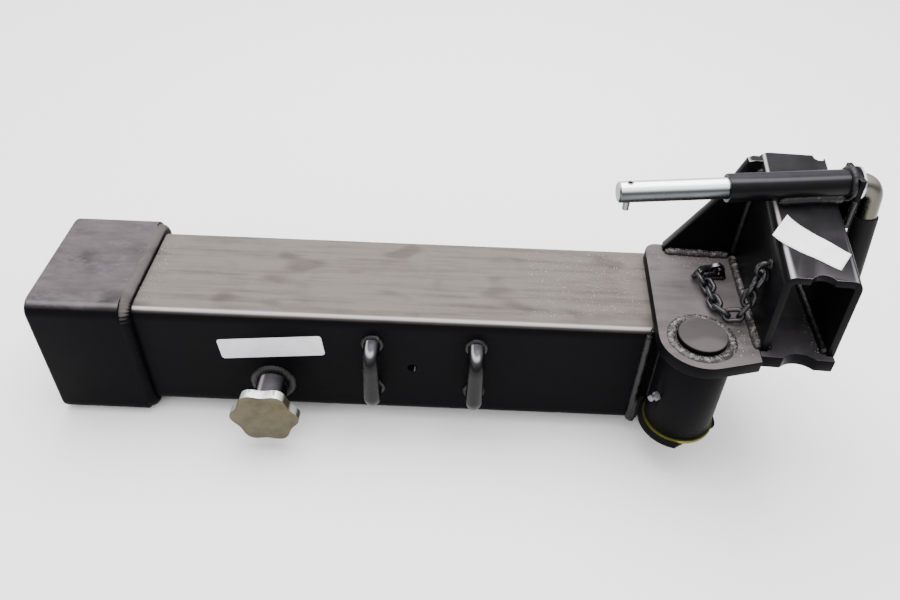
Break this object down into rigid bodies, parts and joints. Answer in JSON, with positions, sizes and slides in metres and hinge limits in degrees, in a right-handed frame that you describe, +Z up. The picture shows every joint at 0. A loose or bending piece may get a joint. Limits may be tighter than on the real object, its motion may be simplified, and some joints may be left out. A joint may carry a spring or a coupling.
{
  "type": "wheel-lift crossbar swivel head",
  "caption": "Square tube end of a tow-truck wheel-lift crossbar, with a spring plunger, chain loops and a swivelling sloped arm pocket locked by a bent sliding rod.",
  "frame": {"origin": "centre of the square tube's open mouth, at the collar's outer end", "axes": "+X along the tube from the open mouth to the pivot end, +Y towards the back, away from the plunger's face, +Z up, along the pivot pin"},
  "size_m": [0.779, 0.196, 0.2803],
  "materials": {
    "black_paint": "satin",
    "chain_paint": "gloss",
    "bronze": "satin",
    "zinc_plate": "satin",
    "yellow_zinc": "satin",
    "spring_steel": "satin",
    "pin_steel": "satin",
    "knob_casting": "satin",
    "rubber_grip": "matte",
    "label": "satin"
  },
  "bodies": {
    "beam": {"main_tube": "black_paint", "end_collar": "black_paint", "end_cap": "black_paint", "pivot_saddle": "black_paint", "pivot_barrel": "black_paint", "upper_bushing": "bronze", "lower_bushing": "bronze", "grease_nipple": "zinc_plate", "upper_thrust_washer": "bronze", "plunger_housing": "black_paint", "plunger_spring": "spring_steel", "chain_loop_left": "black_paint", "chain_loop_right": "black_paint", "part_label": "label"},
    "head": {"swivel_plate": "black_paint", "receiver_floor": "black_paint", "receiver_channel": "black_paint", "gusset_plate": "black_paint", "chain_lug": "black_paint", "chain_staple": "black_paint", "safety_chain": "chain_paint", "rod_sleeve": "black_paint", "rod_stop_plate": "black_paint", "pivot_pin": "pin_steel", "retainer_disc": "black_paint", "retainer_bolt": "zinc_plate", "retainer_lock_washer": "zinc_plate", "lower_thrust_washer": "yellow_zinc"},
    "plunger": {"plunger_pin": "zinc_plate", "plunger_knob": "knob_casting"},
    "rod_carrier": {"rod_washer": "zinc_plate"},
    "rod": {"lock_rod": "zinc_plate", "rod_roll_pin": "spring_steel", "rod_grip": "rubber_grip"}
  },
  "joints": [
    {"name": "head_swivel", "type": "hinge", "parent": "beam", "child": "head", "pos_m": [0.62, -0.0849, 0.0785], "axis": [0, 0, 1], "range_deg": [-100, 95]},
    {"name": "plunger_pull", "type": "slide", "parent": "beam", "child": "plunger", "axis": [0, -1, 0], "range_m": [0, 0.0175], "stiffness_N_per_m": 1800, "springref_m": -0.015, "deforming": ["plunger_spring"]},
    {"name": "rod_slide", "type": "slide", "parent": "head", "child": "rod_carrier", "axis": [0.9957, 0.0854, 0.0349], "range_m": [0, 0.082]},
    {"name": "rod_turn", "type": "hinge", "parent": "rod_carrier", "child": "rod", "pos_m": [0.68582, -0.00413, 0.1901], "axis": [0.9957, 0.0854, 0.0349], "range_deg": [-120, 120]}
  ]
}
